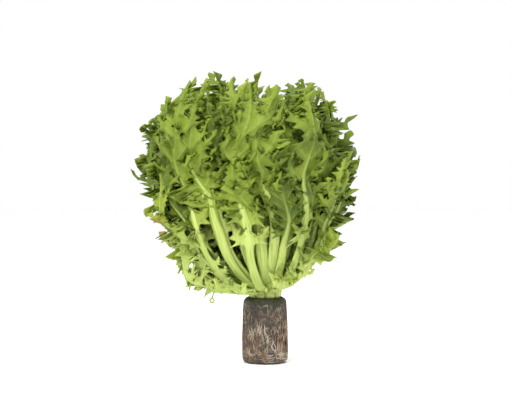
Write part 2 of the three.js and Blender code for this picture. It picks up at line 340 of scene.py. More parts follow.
def standing(leaf, s, w, rise):
    """The standing leaf's points, in metres. rise lifts a point towards the head's middle."""
    radius, height, angle = spine(leaf, s)
    along = s / leaf["length"]
    out = np.minimum(1, np.abs(w) / leaf["reach"])
    side = np.where(w > 0, 0, RIGHT_SIDE_PHASE)
    ruffle = leaf["ruffle"] * smooth(along, *RUFFLE_GROWS) * out**RUFFLE_SHARPNESS
    swing = leaf["phase"] + side + 2 * math.pi * leaf["waves"] * along
    buckle = BUCKLE * smooth(along, *BUCKLE_GROWS) * np.sin(1.7 * leaf["phase"] + 10 * along)
    cup = CUP * leaf["cup"] * smooth(along, *CUP_GROWS) * out**2
    lift = ruffle * (np.sin(swing) + FINE_RUFFLE * np.sin(2.7 * swing + 0.2 * w)) + buckle + cup + rise
    turn = leaf["azimuth"] + leaf["sway"] * along**2 + w / np.maximum(radius, CLASP_RADIUS)
    spots = leaned(*wavered(radius - lift * np.cos(angle), turn, height + lift * np.sin(angle)))
    on_rib = leaned(*wavered(radius, leaf["azimuth"] + leaf["sway"] * along**2, height))
    lines = [((x, 0, z), far + leaf["give"]) for (x, z), far in EASE_LINES]
    lines += [((0, side, 0), EASE_DEPTH + leaf["give"]) for side in (1, -1)]
    return eased(spots + eased(on_rib, lines, EASE) - on_rib, BOX_LINES, BOX_EASE) * MM


def wavered(r, azimuth, z):
    """Points at a radius, an azimuth and a height, swung to the side by the shared waver."""
    grown = smooth(z, WAVER_START, WAVER_FULL)
    turn = azimuth + WAVER_TURN * grown * np.sin(r / TURN_WAVE[0] + z / TURN_WAVE[1])
    x = r * np.cos(turn)
    y = r * np.sin(turn) * DEPTH_SHARE
    side = WAVER_SIDE * grown * np.sin(z / SIDE_WAVE[0] + y / SIDE_WAVE[1] + SIDE_WAVE[2])
    depth = WAVER_DEPTH * grown * np.sin(z / DEPTH_WAVE[0] + x / DEPTH_WAVE[1] + DEPTH_WAVE[2])
    return x + side, y + depth, z


def leaned(x, y, height):
    """Points of the upright rosette on the leaning one."""
    z = height - LEAN_PIVOT
    return np.stack([
        x * math.cos(LEAN) - z * math.sin(LEAN),
        y,
        x * math.sin(LEAN) + z * math.cos(LEAN) + LEAN_PIVOT,
    ], -1)


def eased(spots, lines, ease):
    """Points past a line, brought smoothly back to it. It starts to tell at the distance ease before it."""
    for out, far in lines:
        over = np.maximum(spots @ np.array(out) - (far - ease), 0)
        back = over - ease * (1 - np.exp(-over / ease))
        spots = spots - back[..., None] * np.array(out)
    return spots


def box_lines():
    """The construction's box and a little more, as lines for the four sides."""
    low, high = np.array(CAD_BOX) / MM
    past = BOX_PAST * (high - low)
    ends = []
    for axis, along in enumerate(np.eye(3)[:2]):
        ends += [(along, (high + past)[axis]), (-along, (past - low)[axis])]
    return ends


BOX_LINES = box_lines()
STALK_HALF = 4.8
STALK_SWELL = 1.2
STALK_SWELL_AT = 0.04
STALK_SWELL_LENGTH = 0.06
STALK_REACH = 30
CLASP_REACH = 34


def reach_at(leaf, s):
    """How far the lobes reach to the side at s."""
    along = s / leaf["length"]
    swell = 0.2 + 0.8 * smooth(along, 0.15, 0.68)
    taper = 1 - 0.3 * smooth(along, 0.85, 1)
    room = leaf["slot"] * np.maximum(spine(leaf, s)[0], CLASP_RADIUS)
    return np.minimum(leaf["reach"] * swell * taper, room)


def stalk_half(leaf, s):
    """The half width of the bare stalk at s, which clasps the crown where it starts."""
    along = s / leaf["length"]
    swell = STALK_SWELL * np.exp(-(((along - STALK_SWELL_AT) / STALK_SWELL_LENGTH) ** 2))
    free = (STALK_HALF + swell) * (leaf["reach"] / STALK_REACH) ** 0.35
    free = np.minimum(free, leaf["slot"] * spine(leaf, s)[0])
    clasp = CLASP_HALF * np.exp(-((s / CLASP_LENGTH) ** 2)) * (leaf["reach"] / CLASP_REACH) ** 0.5
    return np.maximum(free, clasp)


# %% [markdown]
# Each side of the blade is a row of lobes that sweep forward, and each lobe is cut again into sharp
# teeth. A lobe has a vein down its middle. Points on it are told by their share f of the way from its
# base to its tip and by their distance g to the side of its vein, because it curls and twists by them.

# %% Lobes
STALK_STATIONS = 4
BLADE_END = 0.93
# The blade's body, as a share of its reach: at its start, and how much it gains up the leaf.
BODY_START = 0.18
BODY_GAIN = 0.22
BODY_GROWS = (0.4, 0.8)
LOBE_SIZES = (0.66, 1)
LOBE_SWEEPS = (0.55, 1.2)
LEAST_SWEEP = 0.8
LOBE_HALF = 0.37
LOBE_REACH = 1.12
# A lobe's body swells by this much towards its tip, and then closes with this bluntness.
LOBE_SWELL = 0.45
LOBE_BLUNTNESS = 0.9
FRILL_START = 0.17
FRILL_PITCH = 0.052
FRILL_HALF = 2.9
# A leaf's draws are numbered, and each kind of lobe starts at a number of its own. A right lobe's
# numbers come a few after those of the left lobe beside it.
LOBE_DRAWS = 20
DRAWS_PER_STATION = 6
RIGHT_LOBE_DRAWS = 3
LOBE_CURL_DRAWS = 200
END_LOBE_DRAWS = 380
FRILL_DRAWS = 900
DRAWS_PER_FRILL = 9
RIGHT_FRILL_DRAWS = 50


def point(s, w):
    return np.array([s, w], float)


def blade_pitch(leaf):
    """The length of blade that each pair of lobes has."""
    return (BLADE_END - leaf["bare"]) * leaf["length"] / leaf["lobes"]


def blade_edge(leaf, station):
    """Where the blade's body ends at one of its stations: s and the distance from the rib."""
    pitch = blade_pitch(leaf)
    s = leaf["bare"] * leaf["length"] + station * pitch
    body = BODY_START + BODY_GAIN * float(smooth(s / leaf["length"], *BODY_GROWS))
    return s + 0.25 * pitch, max(stalk_half(leaf, s) * 0.8, body * float(reach_at(leaf, s)))


def side_lobe(leaf, station, sign):
    """A lobe of one side, from the same draws as the lobe of the solid."""
    pitch = blade_pitch(leaf)
    draw = LOBE_DRAWS + DRAWS_PER_STATION * (station + STALK_STATIONS)
    draw += 0 if sign > 0 else RIGHT_LOBE_DRAWS
    s0, w0 = blade_edge(leaf, station)
    size = chance(leaf["number"], draw, *LOBE_SIZES)
    sweep = max(pitch, LEAST_SWEEP * float(reach_at(leaf, s0)))
    sweep *= chance(leaf["number"], draw + 1, *LOBE_SWEEPS)
    tip_s = s0 + 0.35 * pitch + sweep
    rise = max(size * float(reach_at(leaf, tip_s)) - w0, 2)
    base = point(s0 + 0.36 * pitch, sign * w0)
    tip = point(tip_s, sign * (w0 + rise * LOBE_REACH))
    bend = point(base[0] + 0.2 * (tip[0] - base[0]), base[1] + 0.55 * (tip[1] - base[1]))
    return lobe_values(leaf, base, bend, tip, LOBE_HALF * pitch, LOBE_CURL_DRAWS + draw)


def frill(leaf, place, sign):
    """A small narrow lobe on the stalk."""
    number = leaf["number"]
    draw = FRILL_DRAWS + DRAWS_PER_FRILL * place + (0 if sign > 0 else RIGHT_FRILL_DRAWS)
    size = min(1, leaf["length"] / 200)
    s = leaf["length"] * (FRILL_START + place * FRILL_PITCH)
    w = float(stalk_half(leaf, s)) * 0.95
    length = size * chance(number, draw, 6, 10 + 2.5 * place)
    ahead = chance(number, draw + 1, 0.4, 1.0)
    base = point(s, sign * w)
    tip = base + length * point(math.sin(ahead), sign * math.cos(ahead))
    bend = base + 0.5 * length * point(0.1, sign)
    return lobe_values(leaf, base, bend, tip, size * FRILL_HALF, draw + 2)


def end_lobe(leaf):
    """The lobe at the leaf's end, whose vein is the rib. It tilts and curls less than the others."""
    base = point(BLADE_END * leaf["length"] + 0.1 * blade_pitch(leaf), 0)
    tip = point(leaf["length"] * END_SHARE, 0)
    values = lobe_values(leaf, base, (base + tip) / 2, tip, 0.3 * leaf["reach"], END_LOBE_DRAWS)
    return {**values, "tilt": 0.3 * values["tilt"], "curl": 0.4 * values["curl"]}


def lobe_values(leaf, base, bend, tip, half, draw):
    """A lobe's form, and the draws that say how it turns."""
    number = leaf["number"]
    most_out = -0.2 if leaf["whorl"] in ("low", "apron") else -1.0
    return {
        "base": base,
        "bend": bend,
        "tip": tip,
        "half": half,
        "draw": draw,
        "size": float(np.linalg.norm(tip - base)),
        "tilt": chance(number, draw + 10, most_out, 0.9),
        "curl": chance(number, draw + 11, -0.8, 0.9),
        "twist": chance(number, draw + 12, -1.2, 1.2),
        "fold": chance(number, draw + 13, 0.1, 0.5),
        "phase": chance(number, draw + 14, 0, 2 * math.pi),
        "tone": chance(number, draw + 15, -0.5, 0.5),
    }


def lobes_of(leaf):
    """All the lobes of a leaf: left and right in turn up the blade, then up the stalk, and the end lobe."""
    return [
        *(side_lobe(leaf, station, sign) for station in range(leaf["lobes"]) for sign in (1, -1)),
        *(frill(leaf, place, sign) for place in range(leaf["frills"]) for sign in (1, -1)),
        end_lobe(leaf),
    ]


def vein_point(lobe, f):
    """The point of a lobe's vein at the share f, and the direction across the vein there."""
    base, bend, tip = lobe["base"], lobe["bend"], lobe["tip"]
    on = (1 - f) ** 2 * base + 2 * f * (1 - f) * bend + f * f * tip
    ahead = 2 * (1 - f) * (bend - base) + 2 * f * (tip - bend)
    ahead /= np.linalg.norm(ahead)
    return on, point(-ahead[1], ahead[0])


def lobe_width(lobe, f):
    """The half width of a lobe's body at the share f."""
    return lobe["half"] * (1 + LOBE_SWELL * f) * (1 - f) ** LOBE_BLUNTNESS


# %% [markdown]
# The outline is a chain of bays and teeth. A bay is rounded and a tooth is sharp, so between the two
# runs a curve that leaves the tooth straight and meets the bay along its neighbours' direction.

# %% Outline
FLANK_TEETH = 3
# How far up the flank a bay and its tooth lie, in steps. A tooth leans forward almost to the next bay.
BAY_AT = 0.4
TOOTH_AT = 1.35
TOOTH_SHIFT = 0.05
BAY_DEPTHS = (0.45, 0.7)
TOOTH_LENGTHS = (1.4, 2.3)
LEAST_TOOTH = 0.6
TOOTH_DRAWS = 31
DRAWS_PER_TOOTH = 5
OTHER_FLANK_DRAWS = 60
STEP = 1.9
BAY, TOOTH = 0, 1


def on_lobe(index, lobe, f, g):
    """A key point of the outline on a lobe: s, w, f, g and the lobe's number."""
    on, across = vein_point(lobe, min(f, 1))
    s, w = on + across * g
    return [s, w, f, g, index]


def flank(leaf, index, lobe, side):
    """The key points of one flank of a lobe, from its base to just under its tip."""
    keys = []
    for i in range(FLANK_TEETH):
        draw = lobe["draw"] + TOOTH_DRAWS + DRAWS_PER_TOOTH * i + (0 if side > 0 else OTHER_FLANK_DRAWS)
        shift = chance(leaf["number"], draw, -TOOTH_SHIFT, TOOTH_SHIFT)
        bay = (i + BAY_AT) / (FLANK_TEETH + 1) + shift
        tooth = (i + TOOTH_AT) / (FLANK_TEETH + 1) + shift
        depth = chance(leaf["number"], draw + 1, *BAY_DEPTHS)
        length = chance(leaf["number"], draw + 2, *TOOTH_LENGTHS)
        out = side * (length * lobe_width(lobe, tooth) + LEAST_TOOTH)
        keys.append((BAY, on_lobe(index, lobe, bay, side * depth * lobe_width(lobe, bay))))
        keys.append((TOOTH, on_lobe(index, lobe, tooth, out)))
    return keys


def lobe_keys(leaf, index, lobe, sign, base_half):
    """The key points of a whole lobe, from below its base to above it."""
    half = base_half or lobe["half"]
    s, w = lobe["base"]
    # Across the vein, +g is behind a left lobe's vein and ahead of a right lobe's.
    lower, upper = (1, -1) if sign > 0 else (-1, 1)
    return [
        (BAY, [s - half, w, 0, 0, -1]),
        *flank(leaf, index, lobe, lower),
        (TOOTH, on_lobe(index, lobe, 1, 0)),
        *reversed(flank(leaf, index, lobe, upper)[1:]),
        (BAY, [s + half, w, 0, 0, -1]),
    ]


def side_keys(leaf, lobes, sign):
    """The key points of one side of the leaf, from the root to under the end lobe."""
    keys = []
    for share in np.linspace(0, FRILL_START - 0.02, 4):
        s = share * leaf["length"]
        keys.append((BAY, [s, sign * float(stalk_half(leaf, s)), 0, 0, -1]))
    for place in range(leaf["frills"]):
        index = 2 * leaf["lobes"] + 2 * place + (0 if sign > 0 else 1)
        keys += lobe_keys(leaf, index, lobes[index], sign, 1.1 * lobes[index]["half"])
    for station in range(leaf["lobes"]):
        s0, w0 = blade_edge(leaf, station)
        index = station * 2 + (0 if sign > 0 else 1)
        keys += lobe_keys(leaf, index, lobes[index], sign, 0)
        keys[-1] = (BAY, [s0 + 0.82 * blade_pitch(leaf), sign * w0 * 1.05, 0, 0, -1])
    s0, w0 = blade_edge(leaf, leaf["lobes"])
    keys.append((BAY, [s0 - 0.03 * leaf["length"], sign * w0 * 0.9, 0, 0, -1]))
    return keys


def leaf_keys(leaf, lobes):
    """The key points all round the leaf: up its left side, round its end and down its right side."""
    end = len(lobes) - 1
    left = side_keys(leaf, lobes, 1)
    right = side_keys(leaf, lobes, -1)
    left += flank(leaf, end, lobes[end], 1)
    right += flank(leaf, end, lobes[end], -1)
    return left + [(TOOTH, on_lobe(end, lobes[end], 1, 0))] + right[::-1]


def outline(leaf, lobes):
    """Points round the leaf, each [s, w, f, g, lobe number]."""
    keys = leaf_keys(leaf, lobes)
    kinds = [kind for kind, _ in keys]
    spots = np.array([values for _, values in keys], float)
    count = len(keys)
    points = []
    for i in range(count):
        a, b = spots[i], spots[(i + 1) % count]
        span = b - a
        start = span if kinds[i] == TOOTH else 0.5 * (b - spots[i - 1])
        stop = span if kinds[(i + 1) % count] == TOOTH else 0.5 * (spots[(i + 2) % count] - a)
        steps = max(1, round(float(np.hypot(span[0], span[1])) / STEP))
        for k in range(steps):
            t = k / steps
            here = (
                (2 * t**3 - 3 * t**2 + 1) * a
                + (t**3 - 2 * t**2 + t) * start
                + (3 * t**2 - 2 * t**3) * b
                + (t**3 - t**2) * stop
            )
            here[4] = a[4] if a[4] >= 0 else b[4]
            here[2] = min(max(here[2], 0), 1)
            points.append(here)
    return np.array(points)


print("outline:", len(outline(LEAVES[7], lobes_of(LEAVES[7]))), "points round the first outer leaf")

# %% [markdown]
# The outline is filled with triangles. Besides the points round it, rows of points along the rib, the
# veins and the lobes go in first, so that the ridges have somewhere to rise and the lobes can curl.

# %% Points inside the outline
RIB_ROWS = (0, 0.4, 0.75, 1.0, 1.35, 1.8)
RIB_ROW_STEP = 3.0
LOBE_STEP = 2.5
BODY_STEP = 2.9
VEIN_STEP = 1.8
CLEAR_OF_EDGE = 0.6
CELL = 1.5
# Within this many half widths of the rib, its own rows of points are enough.
RIB_ZONE = 1.9


def rib_half(leaf, s):
    """The half width of the raised rib at s."""
    return stalk_half(leaf, s) * (1 - 0.86 * smooth(s / leaf["length"], 0.2, 0.85))


def rib_points(leaf):
    """Rows of points along the rib."""
    rows = []
    for s in np.arange(RIB_ROW_STEP / 2, leaf["length"], RIB_ROW_STEP):
        half = float(rib_half(leaf, s))
        for share in RIB_ROWS:
            for sign in ((1, -1) if share else (1,)):
                rows.append([s, sign * share * half, 0, 0, -1])
    return rows


def feeder(lobe):
    """The stretch of a lobe's vein from the rib to the lobe's base."""
    return point(lobe["base"][0] - 1.1 * abs(lobe["base"][1]), 0), lobe["base"]


def lobe_points(leaf, index, lobe):
    """Points over a lobe, and along the stretch of vein that leads to it."""
    rows = []
    for f in np.arange(0.02, 1, LOBE_STEP / lobe["size"]):
        width = lobe_width(lobe, f) * 1.1
        for g in np.arange(0, width, LOBE_STEP * 0.9):
            for sign in ((1, -1) if g else (1,)):
                rows.append(on_lobe(index, lobe, f, sign * g))
    start, stop = feeder(lobe)
    for t in np.arange(0.15, 1, VEIN_STEP / max(2, np.linalg.norm(stop - start))):
        s, w = start + (stop - start) * t
        if abs(w) > RIB_ZONE * float(rib_half(leaf, s)):
            rows.append([s, w, 0, 0, -1])
    return rows


def body_points(leaf):
    """Points over the blade beside the rib, in staggered rows."""
    rows = []
    start = leaf["bare"] * leaf["length"]
    widest = leaf["reach"] * 0.3
    for i, s in enumerate(np.arange(start, leaf["length"], BODY_STEP * 0.87)):
        for w in np.arange(-widest + (i % 2) * BODY_STEP / 2, widest, BODY_STEP):
            if abs(w) > RIB_ZONE * float(rib_half(leaf, s)):
                rows.append([s, w, 0, 0, -1])
    return rows


def inside(points, loop):
    """Which points lie inside the outline."""
    a, b = loop[:, :2], np.roll(loop[:, :2], -1, 0)
    s, w = points[:, 0:1], points[:, 1:2]
    crosses = (a[:, 1] > w) != (b[:, 1] > w)
    run = np.where(b[:, 1] == a[:, 1], 1, b[:, 1] - a[:, 1])
    left_of = s < a[:, 0] + (w - a[:, 1]) * (b[:, 0] - a[:, 0]) / run
    return (crosses & left_of).sum(1) % 2 == 1


def clear_of_edge(points, loop):
    """Which points keep clear of the outline's own points."""
    gaps = np.hypot(points[:, 0:1] - loop[:, 0], points[:, 1:2] - loop[:, 1])
    return (gaps > CLEAR_OF_EDGE).all(1)


def filling(leaf, lobes, loop):
    """The points inside the outline, no two in one small cell."""
    rows = rib_points(leaf)
    for index, lobe in enumerate(lobes):
        rows += lobe_points(leaf, index, lobe)
    rows += body_points(leaf)
    points = np.array(rows, float)
    points = points[inside(points, loop) & clear_of_edge(points, loop)]
    cells = np.floor(points[:, :2] / CELL).astype(int)
    _, first = np.unique(cells, axis=0, return_index=True)
    return points[np.sort(first)]


# %% [markdown]
# A pressed leaf comes alive when each lobe turns its own way: it curls towards its tip, twists about
# its vein, folds along it and flutters at its edge. All of these are nothing at the lobe's base, so
# the blade stays whole.

# %% Lobes that curl
CURL_REACH = 0.55
TWIST_GROWS = (0, 0.8)
TILT_GROWS = (0, 0.45)
FLUTTER = 1.0
FLUTTER_WAVES = 10


def curled(lobes, points):
    """Where the lobes' curls take the flat points: s, w and the rise towards the head's middle."""
    s, w = points[:, 0].copy(), points[:, 1].copy()
    rise = np.zeros(len(points))
    for index, lobe in enumerate(lobes):
        on = points[:, 4] == index
        f, g = points[on, 2], points[on, 3]
        base, bend, tip = lobe["base"], lobe["bend"], lobe["tip"]
        ahead = 2 * (1 - f)[:, None] * (bend - base) + 2 * f[:, None] * (tip - bend)
        ahead /= np.linalg.norm(ahead, axis=1)[:, None]
        grown = smooth(f, *TWIST_GROWS)
        lean_out = lobe["tilt"] * smooth(f, *TILT_GROWS)
        reached = f * lobe["size"]
        turn = lobe["twist"] * grown
        width = np.maximum(lobe_width(lobe, np.minimum(f, 0.9)), 1)
        edge = np.minimum(1, np.abs(g) / width) ** 2
        flutter = FLUTTER * np.sin(lobe["phase"] + FLUTTER_WAVES * f + np.sign(g)) * edge
        rise[on] = (
            lobe["curl"] * CURL_REACH * lobe["size"] * f**2
            + reached * np.sin(lean_out)
            + g * np.sin(turn)
            + lobe["fold"] * np.abs(g) * grown
            + flutter * grown
        )
        narrowed = g * (np.cos(turn) - 1)
        drawn_in = reached * (1 - np.cos(lean_out))
        s[on] -= ahead[:, 1] * narrowed
        w[on] += ahead[:, 0] * narrowed - np.sign(tip[1]) * drawn_in
    return s, w, rise


# %% [markdown]
# The blade gets its thickness from its two faces, which share one set of triangles and are joined by
# a rim. The rib stands out on the back of the leaf, the side that the head turns to the viewer, and
# less on its front. Five numbers stay on every point for the finish: how far along the leaf it is, how
# far it is from the rib and from the nearest vein, how much darker than its neighbours, and how dry.
# On the leaves at the right of the head the first and the fourth also carry painted shade.

# %% The leaf's mesh
BLADE_THICKNESS = 0.55 * MM
RIB_THICKNESS = 3.2 * MM
RIB_END_THICKNESS = 1.0 * MM
VEIN_THICKNESS = 0.5 * MM
VEIN_HALF = 0.8
FAR_FROM_VEIN = 20.0
# Where the raised rib and vein end, in their half widths.
RIB_EDGE = 1.05
VEIN_EDGE = 1.6
RIB_TAPER = 0.8
PUFF = 2.0 * MM
PUFF_WIDTH = 4
PUFF_GROWS = (0.3, 0.6)
# How far the low leaves have greened, out of 1, and, as painted shade, how much greener and darker those on
# the right are made.
RIPENESS = {"low": 0.42, "apron": 0.5, "skirt": 0.7}
RIGHT_GREENING_PAINTED_SHADE = 0.3
# Painted shade: how much darker the middle of a leaf at the right of the head is made.
RIGHT_PAINTED_SHADE = 2.2
TONE_DRAW = 9
LOW_TONES = (-1, -0.4)
OTHER_TONES = (-0.6, 1)
# The lobes whose tips have dried, by leaf.
DRY_LOBES = {"leaf_skirt_8": (5, 6)}
BACK_SHARE = 0.75


def to_vein(lobes, points):
    """Each point's distance from the nearest lobe's vein, in half widths of the vein."""
    far = np.full(len(points), FAR_FROM_VEIN)
    for index, lobe in enumerate(lobes[:-1]):
        on = points[:, 4] == index
        far[on] = np.abs(points[on, 3]) / (VEIN_HALF * (1.15 - 0.7 * points[on, 2]))
        start, stop = feeder(lobe)
        along = stop - start
        away = points[:, :2] - start
        t = np.clip((away @ along) / (along @ along), 0, 1)
        distance = np.linalg.norm(away - t[:, None] * along, axis=1) / VEIN_HALF
        body = points[:, 4] < 0
        far[body] = np.minimum(far[body], distance[body])
    return np.minimum(far, FAR_FROM_VEIN)


def triangles_of(points, loop):
    """Triangles that fill the outline, anticlockwise seen with w to the right and s upwards."""
    flat = [Vector((w, s)) for s, w in points[:, :2]]
    _, _, faces, origins, _, _ = delaunay_2d_cdt(flat, [], [list(range(len(loop)))], 1, 1e-4, True)
    keep = np.array([origin[0] if origin else -1 for origin in origins])
    tris = keep[np.array(faces)]
    tris = tris[tris.min(1) >= 0]
    corners = points[tris][:, :, :2]
    tris = tris[inside(corners.mean(1), loop)]
    corners = points[tris][:, :, :2]
    u, v = corners[:, 1] - corners[:, 0], corners[:, 2] - corners[:, 0]
    area = u[:, 1] * v[:, 0] - u[:, 0] * v[:, 1]
    tris[area < 0] = tris[area < 0][:, ::-1]
    return tris[np.abs(area) > 1e-3]


def point_normals(spots, tris):
    """The direction that the surface faces at each point."""
    corners = spots[tris]
    across = np.cross(corners[:, 1] - corners[:, 0], corners[:, 2] - corners[:, 0])
    normals = np.zeros_like(spots)
    for i in range(3):
        np.add.at(normals, tris[:, i], across)
    length = np.linalg.norm(normals, axis=1)[:, None]
    return normals / np.maximum(length, 1e-12)


def rim_of(tris):
    """The edges that only one triangle has, each in that triangle's direction."""
    edges = np.concatenate([tris[:, [0, 1]], tris[:, [1, 2]], tris[:, [2, 0]]])
    known = {tuple(edge) for edge in edges.tolist()}
    return [edge for edge in known if (edge[1], edge[0]) not in known]


def leaf_mesh(leaf):
    """The whole leaf's mesh, with the numbers for its finish on every point."""
    lobes = lobes_of(leaf)
    loop = outline(leaf, lobes)
    points = np.concatenate([loop, filling(leaf, lobes, loop)])
    tris = triangles_of(points, loop)
    used, tris = np.unique(tris, return_inverse=True)
    tris = tris.reshape(-1, 3)
    points = points[used]
    s, w, rise = curled(lobes, points)
    middle = standing(leaf, s, w, rise)
    along = points[:, 0] / leaf["length"]
    from_rib = points[:, 1] / rib_half(leaf, points[:, 0])
    from_vein = to_vein(lobes, points)
    away = np.minimum(from_vein, np.abs(from_rib))
    puffed = PUFF * (1 - np.exp(-away / PUFF_WIDTH)) * smooth(along, *PUFF_GROWS)
    middle -= point_normals(middle, tris) * puffed[:, None]
    normals = point_normals(middle, tris)
    ridge = np.sqrt(np.maximum(0, 1 - np.minimum(1, np.abs(from_rib) / RIB_EDGE) ** 2))
    taper = (RIB_END_THICKNESS - RIB_THICKNESS) * np.clip(along, 0, 1) ** RIB_TAPER
    rib = (RIB_THICKNESS + taper) * ridge
    vein = VEIN_THICKNESS * np.maximum(0, 1 - from_vein / VEIN_EDGE)
    raised = np.maximum(rib - BLADE_THICKNESS, vein)
    back = middle + normals * (BLADE_THICKNESS / 2 + BACK_SHARE * raised)[:, None]
    front = middle - normals * (BLADE_THICKNESS / 2 + (1 - BACK_SHARE) * raised)[:, None]
    count = len(points)
    faces = tris.tolist() + (tris[:, ::-1] + count).tolist()
    for a, b in rim_of(tris):
        faces.append([b, a, a + count, b + count])
    mesh = bpy.data.meshes.new(leaf["name"])
    mesh.from_pydata(np.concatenate([back, front]).tolist(), [], faces)
    palest, darkest = LOW_TONES if leaf["whorl"] in LOW_WHORLS else OTHER_TONES
    # Painted shade: the middle part of each leaf at the right of the head gets a darker tone.
    middle_part = smooth(along, 0.25, 0.5) * (1 - 0.8 * smooth(along, 0.65, 0.95))
    on_right = max(0, math.cos(leaf["azimuth"]))
    painted_right_shade = RIGHT_PAINTED_SHADE * on_right * middle_part
    tone = np.full(count, chance(leaf["number"], TONE_DRAW, palest, darkest)) + painted_right_shade
    dry = np.zeros(count)
    for index, lobe in enumerate(lobes):
        on = points[:, 4] == index
        tone[on] += lobe["tone"] * smooth(points[on, 2], 0, 0.6)
        if index in DRY_LOBES.get(leaf["name"], ()):
            dry[on] = smooth(points[on, 2], 0.2, 0.8)
    # Painted shade: the low leaves at the right of the head are made greener and darker than those at the
    # left.
    ripeness_and_painted_shade = along * min(1, RIPENESS.get(leaf["whorl"], 1) + RIGHT_GREENING_PAINTED_SHADE * on_right)
    kept = {"along": ripeness_and_painted_shade, "rib": from_rib, "vein": from_vein, "tone": tone, "dry": dry}
    for key, values in kept.items():
        store = mesh.attributes.new(key, "FLOAT", "POINT")
        store.data.foreach_set("value", np.concatenate([values, values]).astype(np.float32))
    mesh.shade_smooth()
    return mesh


# %% [markdown]
# Fresh endive isn't one green. The ribs are pale and juicy, the blade is a clear green that grows
# yellower low down and darker at the top, and the veins are light lines. Fibres run up the stalk as
# greener streaks. A thin blade also lets light through, so part of its shading is translucent.

# %% The leaf's finish
DEEP_GREEN = (0.07, 0.12, 0.007, 1)
# The deep green of painted shade at the right of the head, and of the darkest leaves.
TONE_AND_PAINTED_SHADE_GREEN = (0.09, 0.15, 0.006, 1)
CLEAR_GREEN = (0.20, 0.285, 0.020, 1)
YOUNG_GREEN = (0.34, 0.43, 0.05, 1)
PALE_RIB = (0.61, 0.72, 0.20, 1)
LIGHT_THROUGH = (0.42, 0.55, 0.05, 1)
DRY_TIP = (0.33, 0.25, 0.05, 1)
FIBRE_GREEN = (0.33, 0.44, 0.08, 1)
LEAF_GLOSS = 0.32
LIGHT_SHARE = 0.28


class Graph:
    """A few short ways to add and join the nodes of one material."""

    def __init__(self, name):
        self.material = bpy.data.materials.new(name)
        self.material.use_nodes = True
        self.tree = self.material.node_tree
        self.shader = self.tree.nodes["Principled BSDF"]
        self.output = self.tree.nodes["Material Output"]

    def node(self, kind, settings=None, **inputs):
        made = self.tree.nodes.new(kind)
        for key, value in (settings or {}).items():
            setattr(made, key, value)
        for key, value in inputs.items():
            self.give(made, key.replace("_", " "), value)
        return made

    def give(self, node, socket, value):
        target = node.inputs[int(socket)] if socket.isdigit() else node.inputs[socket]
        if hasattr(value, "is_output"):
            self.tree.links.new(value, target)
        else:
            target.default_value = value

    def value(self, key):
        """A number that the mesh keeps on its points."""
        return self.node("ShaderNodeAttribute", {"attribute_name": key}).outputs["Fac"]

    def math(self, operation, a, b=0.0):
        made = self.node("ShaderNodeMath", {"operation": operation})
        self.give(made, "0", a)
        self.give(made, "1", b)
        return made.outputs[0]

    def ramp(self, value, low, high, to_low=0.0, to_high=1.0):
        """A smooth rise from to_low to to_high while value goes from low to high."""
        made = self.node("ShaderNodeMapRange", {"interpolation_type": "SMOOTHSTEP"}, Value=value)
        ends = {"From Min": low, "From Max": high, "To Min": to_low, "To Max": to_high}
        for socket, number in ends.items():
            made.inputs[socket].default_value = number
        return made.outputs[0]

    def mix(self, share, a, b):
        made = self.node("ShaderNodeMix", {"data_type": "RGBA"})
        self.give(made, "0", share)
        self.give(made, "6", a)
        self.give(made, "7", b)
        return made.outputs[2]

    def place(self):
        return self.node("ShaderNodeTexCoord").outputs["Object"]

    def noise(self, scale, detail=3.0, roughness=0.5):
        made = self.node("ShaderNodeTexNoise", Vector=self.place(), Scale=scale, Detail=detail)
        made.inputs["Roughness"].default_value = roughness
        return made.outputs[0]

    def net(self, scale, place):
        """The distance from the borders of a net of cells."""
        made = self.node("ShaderNodeTexVoronoi", {"feature": "DISTANCE_TO_EDGE"}, Scale=scale)
        self.give(made, "Vector", place)
        return made.outputs["Distance"]

    def bump(self, strength, depth, height):
        """Raises the shader's surface by a height, and returns the direction that it then faces."""
        made = self.node("ShaderNodeBump", Strength=strength, Distance=depth, Height=height)
        self.give(self.shader, "Normal", made.outputs[0])
        return made.outputs[0]


